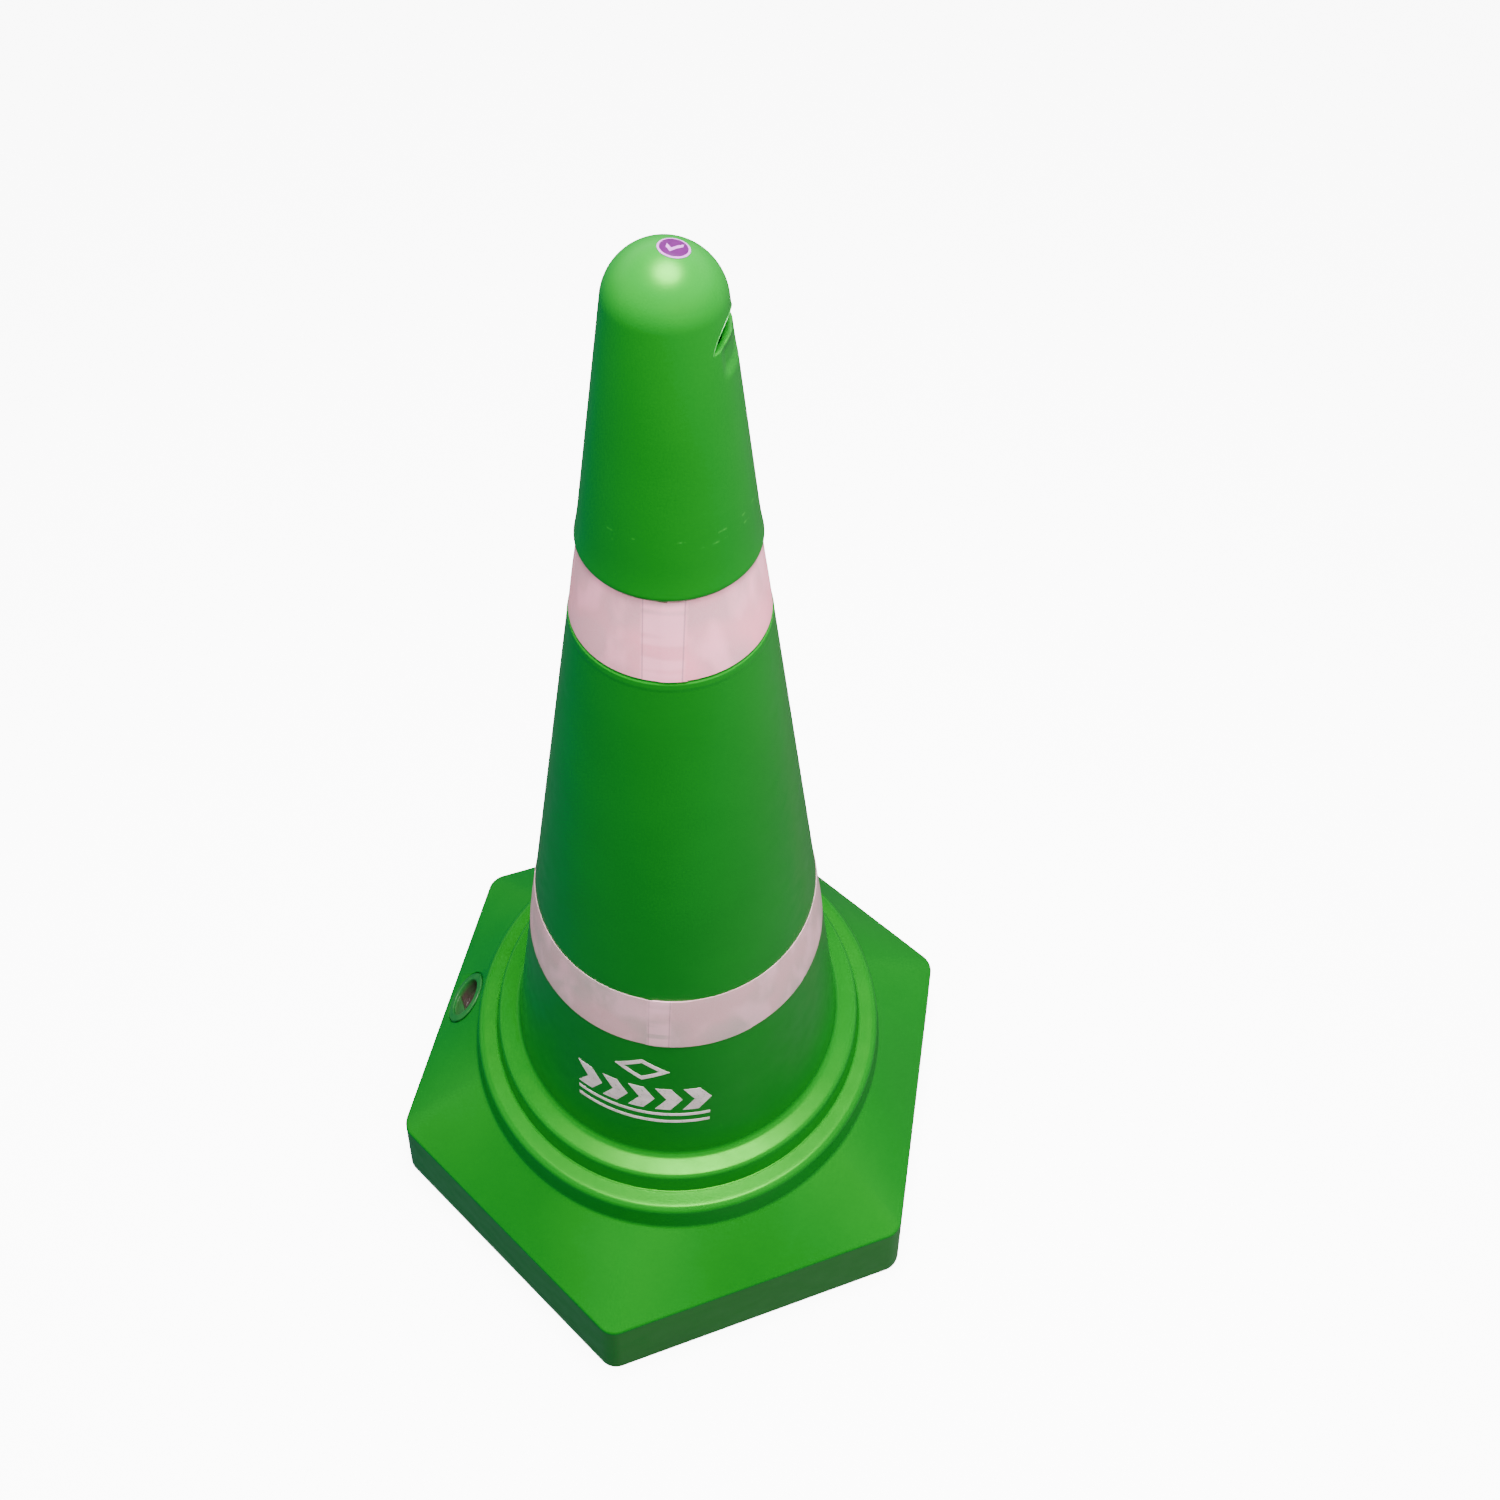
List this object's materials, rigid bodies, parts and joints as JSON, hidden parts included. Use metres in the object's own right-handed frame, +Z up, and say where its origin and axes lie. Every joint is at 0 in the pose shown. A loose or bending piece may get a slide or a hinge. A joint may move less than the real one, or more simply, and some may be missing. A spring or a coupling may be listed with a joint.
{
  "type": "traffic cone",
  "caption": "Tall hollow safety cone with a domed head, a chain hook and retroreflective bands, on a hexagonal sand-filled base ring with a push-in filler plug.",
  "frame": {"origin": "centre of the underside, on the surface that the cone stands on", "axes": "+Z up along the cone's axis; the chain hook faces +X; a corner of the hexagonal base points along +Y and -Y; the filler plug is on the base's sloping face towards -X; the print faces -Y"},
  "size_m": [0.3628, 0.4146, 0.7502],
  "materials": {
    "cone_green": "satin",
    "base_green": "satin",
    "plug_green": "satin",
    "band_sheeting": "satin",
    "sticker_film": "gloss",
    "print_ink": "matte",
    "sand": "matte"
  },
  "bodies": {
    "cone": {"cone_shell": "cone_green", "base_shell": "base_green", "sand_ballast": "sand", "upper_reflective_band": "band_sheeting", "lower_reflective_band": "band_sheeting", "inspection_sticker": "sticker_film", "printed_mark": "print_ink"},
    "plug": {"filler_plug": "plug_green"}
  },
  "joints": [
    {"name": "plug_pull", "type": "slide", "parent": "cone", "child": "plug", "axis": [-0.751, 0, 0.6603], "range_m": [0, 0.03]}
  ]
}
